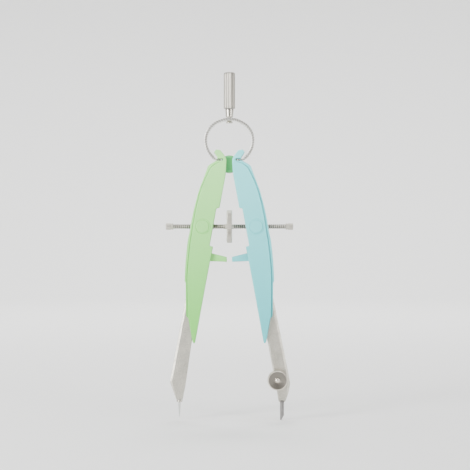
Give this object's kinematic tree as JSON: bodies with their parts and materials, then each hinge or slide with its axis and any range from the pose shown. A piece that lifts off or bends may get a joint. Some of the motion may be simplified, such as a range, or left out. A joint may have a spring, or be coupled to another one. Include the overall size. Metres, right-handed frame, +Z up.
{
  "type": "drawing compass",
  "caption": "Ring-spring bow compass with threaded spindle, centre wheel, quick-release levers, needle leg and clamped lead leg.",
  "frame": {"origin": "on the centre line between the legs, level with the tip of the lead", "axes": "+Z up through the grip, +X to the lead leg, -Y towards the front, where the clamp knob is"},
  "size_m": [0.0624, 0.016, 0.1701],
  "materials": {
    "mint_plastic": "satin moulded",
    "aqua_plastic": "satin moulded",
    "green_plastic": "satin moulded",
    "nickel": "bright nickel",
    "spring_steel": "drawn",
    "satin_zinc": "fine blasted",
    "steel": "polished",
    "turned_steel": "turned",
    "brass": "machined",
    "graphite": "dull"
  },
  "bodies": {
    "head": {"grip_sleeve": "nickel", "handle_shank": "nickel", "ring_spring": "spring_steel", "hinge_roller": "green_plastic"},
    "left_leg": {"left_front_cover": "mint_plastic", "left_back_cover": "mint_plastic", "left_upper_screw": "steel", "left_lower_screw": "steel", "left_leg_bar": "satin_zinc", "left_lever_pin": "steel", "left_lever_spring": "spring_steel", "needle_collet": "nickel", "needle": "steel"},
    "right_leg": {"right_front_cover": "aqua_plastic", "right_back_cover": "aqua_plastic", "right_upper_screw": "steel", "right_lower_screw": "steel", "right_leg_bar": "satin_zinc", "right_lever_pin": "steel", "right_lever_spring": "spring_steel", "lead_jaw": "satin_zinc"},
    "left_nut": {"left_swivel_nut": "brass"},
    "right_nut": {"right_swivel_nut": "brass"},
    "spindle_ends": {"left_end_cap": "nickel", "right_end_cap": "nickel"},
    "spindle": {"spindle_rod": "nickel", "thumb_wheel": "nickel"},
    "left_lever": {"left_release_lever": "mint_plastic"},
    "right_lever": {"right_release_lever": "aqua_plastic"},
    "lead_clamp": {"clamp_screw": "turned_steel"},
    "lead_stick": {"lead": "graphite"}
  },
  "joints": [
    {"name": "left_leg_hinge", "type": "hinge", "parent": "head", "child": "left_leg", "pos_m": [0, 0, 0.1252], "axis": [0, 1, 0], "range_deg": [-10, 14.5], "deforming": ["ring_spring"]},
    {"name": "right_leg_hinge", "type": "hinge", "parent": "head", "child": "right_leg", "pos_m": [0, 0, 0.1252], "axis": [0, -1, 0], "range_deg": [-10, 14.5], "deforming": ["ring_spring"]},
    {"name": "left_nut_swivel", "type": "hinge", "parent": "left_leg", "child": "left_nut", "pos_m": [-0.0131, 0, 0.0947], "axis": [0, 1, 0], "range_deg": [-14.5, 10]},
    {"name": "right_nut_swivel", "type": "hinge", "parent": "right_leg", "child": "right_nut", "pos_m": [0.0131, 0, 0.0947], "axis": [0, -1, 0], "range_deg": [-14.5, 10]},
    {"name": "spindle_travel", "type": "slide", "parent": "left_nut", "child": "spindle_ends", "axis": [1, 0, 0], "range_m": [-0.0052, 0.0075]},
    {"name": "spindle_turn", "type": "hinge", "parent": "spindle_ends", "child": "spindle", "pos_m": [0, 0, 0.0947], "axis": [1, 0, 0], "range_deg": [-1860, 2695]},
    {"name": "left_lever_pivot", "type": "hinge", "parent": "left_leg", "child": "left_lever", "pos_m": [-0.0163, 0, 0.0906], "axis": [0, 1, 0], "range_deg": [0, 7], "stiffness_Nm_per_rad": 0.05, "springref_deg": -9.74, "deforming": ["left_lever_spring"]},
    {"name": "right_lever_pivot", "type": "hinge", "parent": "right_leg", "child": "right_lever", "pos_m": [0.0163, 0, 0.0906], "axis": [0, -1, 0], "range_deg": [0, 7], "stiffness_Nm_per_rad": 0.05, "springref_deg": -9.74, "deforming": ["right_lever_spring"]},
    {"name": "clamp_turn", "type": "hinge", "parent": "right_leg", "child": "lead_clamp", "pos_m": [0.0234, 0, 0.02], "axis": [0, -1, 0], "range_deg": [0, 270]},
    {"name": "lead_slide", "type": "slide", "parent": "right_leg", "child": "lead_stick", "axis": [0, 0, -1], "range_m": [-0.004, 0.01]}
  ],
  "couplings": [
    {"joint": "right_leg_hinge", "follows": "left_leg_hinge", "ratio": 1},
    {"joint": "left_nut_swivel", "follows": "left_leg_hinge", "ratio": -1},
    {"joint": "right_nut_swivel", "follows": "left_leg_hinge", "ratio": -1},
    {"joint": "spindle_travel", "follows": "left_leg_hinge", "m_per_rad": 0.0295},
    {"joint": "spindle_turn", "follows": "left_leg_hinge", "ratio": 185.36}
  ]
}
